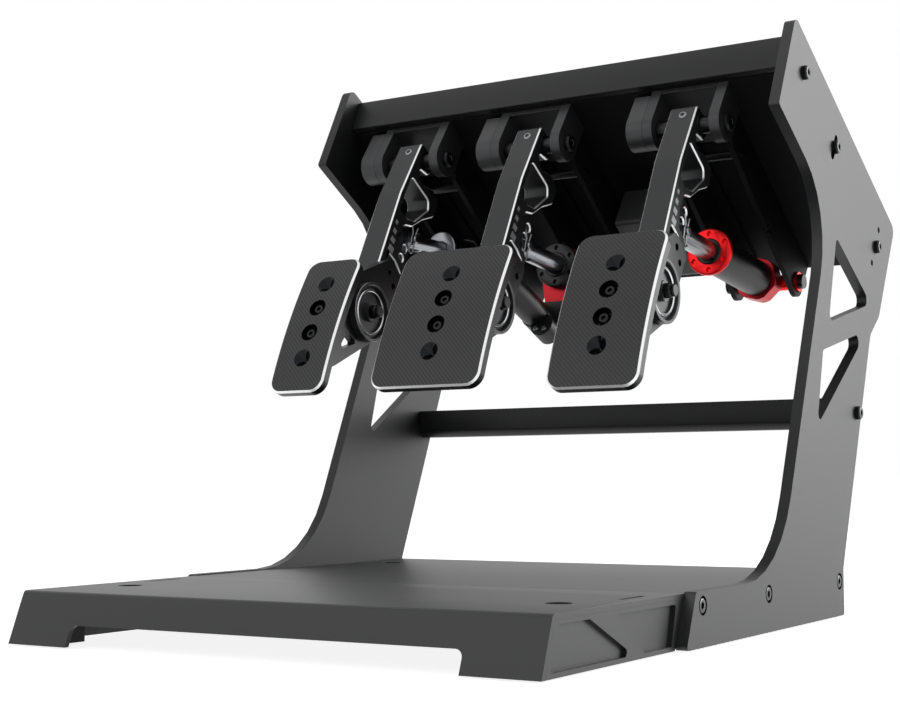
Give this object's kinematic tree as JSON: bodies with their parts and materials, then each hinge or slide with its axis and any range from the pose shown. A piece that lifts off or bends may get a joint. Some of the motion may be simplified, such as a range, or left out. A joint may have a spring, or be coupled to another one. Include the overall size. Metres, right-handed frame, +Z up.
{
  "type": "sim racing pedal set",
  "caption": "Hanging clutch, brake and throttle pedals for a driving simulator on a plate-cut stand with a heel deck; the arms swing and push sprung dampers.",
  "frame": {"origin": "centre of the footprint, on the floor", "axes": "+X to the driver's right, +Y to the back, +Z up"},
  "size_m": [0.51, 0.7367, 0.5374],
  "materials": {
    "powder_coat": "fine matte black powder coat",
    "black_anodised": "satin black anodised",
    "black_plastic": "moulded, satin",
    "carbon_face": "carbon twill under satin resin",
    "bright_steel": "turned and polished",
    "black_steel": "black oxide",
    "spring_steel": "shot blasted",
    "red_anodised": "satin red anodised",
    "rubber": "matt moulded"
  },
  "bodies": {
    "frame": {"left_side_plate": "powder_coat", "right_side_plate": "powder_coat", "front_deck": "powder_coat", "rear_deck": "powder_coat", "deck_rails": "powder_coat", "deck_feet": "rubber", "cross_bar": "powder_coat", "front_fascia": "powder_coat", "mount_panel": "powder_coat", "frame_bolts": "black_steel", "control_box": "black_plastic", "pivot_pins": "black_steel", "rear_pins": "red_anodised", "spacer_rods": "bright_steel", "clutch_bracket": "black_anodised", "clutch_side_plates": "black_anodised", "clutch_sensor": "black_plastic", "brake_bracket": "black_anodised", "brake_side_plates": "black_anodised", "brake_sensor": "black_plastic", "throttle_bracket": "black_anodised", "throttle_side_plates": "black_anodised", "throttle_sensor": "black_plastic"},
    "clutch_arm": {"clutch_arm": "black_anodised", "clutch_bushes": "bright_steel", "clutch_pad_bracket": "black_anodised", "clutch_pad": "carbon_face", "clutch_haptic": "black_plastic", "clutch_clevis_pin": "bright_steel", "clutch_pad_screws": "black_steel"},
    "clutch_damper": {"clutch_cylinder": "black_anodised", "clutch_flange": "bright_steel", "clutch_end_cap": "black_anodised", "clutch_spring": "spring_steel"},
    "clutch_rod": {"clutch_rod": "bright_steel"},
    "brake_arm": {"brake_arm": "black_anodised", "brake_bushes": "bright_steel", "brake_pad_bracket": "black_anodised", "brake_pad": "carbon_face", "brake_haptic": "black_plastic", "brake_clevis_pin": "bright_steel", "brake_pad_screws": "black_steel"},
    "brake_damper": {"brake_cylinder": "black_anodised", "brake_flange": "black_anodised", "brake_end_cap": "red_anodised", "brake_spring": "spring_steel", "brake_reservoir": "black_anodised"},
    "brake_rod": {"brake_rod": "bright_steel"},
    "throttle_arm": {"throttle_arm": "black_anodised", "throttle_bushes": "bright_steel", "throttle_pad_bracket": "black_anodised", "throttle_pad": "carbon_face", "throttle_haptic": "black_plastic", "throttle_clevis_pin": "bright_steel", "throttle_pad_screws": "black_steel"},
    "throttle_damper": {"throttle_cylinder": "black_anodised", "throttle_flange": "red_anodised", "throttle_end_cap": "red_anodised", "throttle_spring": "spring_steel"},
    "throttle_rod": {"throttle_rod": "bright_steel"}
  },
  "joints": [
    {"name": "clutch_pivot", "type": "hinge", "parent": "frame", "child": "clutch_arm", "pos_m": [-0.16, 0.0945, 0.45157], "axis": [1, 0, 0], "range_deg": [0, 17], "stiffness_Nm_per_rad": 60, "springref_deg": -3.44},
    {"name": "clutch_damper_pivot", "type": "hinge", "parent": "frame", "child": "clutch_damper", "pos_m": [-0.16, 0.21047, 0.3696], "axis": [1, 0, 0], "range_deg": [0, 1.3]},
    {"name": "clutch_rod_slide", "type": "slide", "parent": "clutch_damper", "child": "clutch_rod", "axis": [0, 1, -0.0002], "range_m": [0, 0.025]},
    {"name": "brake_pivot", "type": "hinge", "parent": "frame", "child": "brake_arm", "pos_m": [-0.0208, 0.0945, 0.45157], "axis": [1, 0, 0], "range_deg": [0, 7], "stiffness_Nm_per_rad": 300, "springref_deg": -1.72},
    {"name": "brake_damper_pivot", "type": "hinge", "parent": "frame", "child": "brake_damper", "pos_m": [-0.0208, 0.28349, 0.32399], "axis": [1, 0, 0], "range_deg": [0, 0.55]},
    {"name": "brake_rod_slide", "type": "slide", "parent": "brake_damper", "child": "brake_rod", "axis": [0, 0.9932, -0.1167], "range_m": [0, 0.0131]},
    {"name": "throttle_pivot", "type": "hinge", "parent": "frame", "child": "throttle_arm", "pos_m": [0.1435, 0.0945, 0.45157], "axis": [1, 0, 0], "range_deg": [0, 16], "stiffness_Nm_per_rad": 43, "springref_deg": -3.44},
    {"name": "throttle_damper_pivot", "type": "hinge", "parent": "frame", "child": "throttle_damper", "pos_m": [0.1435, 0.28349, 0.32399], "axis": [1, 0, 0], "range_deg": [0, 0.7]},
    {"name": "throttle_rod_slide", "type": "slide", "parent": "throttle_damper", "child": "throttle_rod", "axis": [0, 0.9932, -0.1167], "range_m": [0, 0.0298]}
  ],
  "couplings": [
    {"joint": "clutch_damper_pivot", "follows": "clutch_pivot", "ratio": 0.0722},
    {"joint": "clutch_rod_slide", "follows": "clutch_pivot", "m_per_rad": 0.08314},
    {"joint": "brake_damper_pivot", "follows": "brake_pivot", "ratio": 0.068},
    {"joint": "brake_rod_slide", "follows": "brake_pivot", "m_per_rad": 0.10535},
    {"joint": "throttle_damper_pivot", "follows": "throttle_pivot", "ratio": 0.0403},
    {"joint": "throttle_rod_slide", "follows": "throttle_pivot", "m_per_rad": 0.10583}
  ]
}
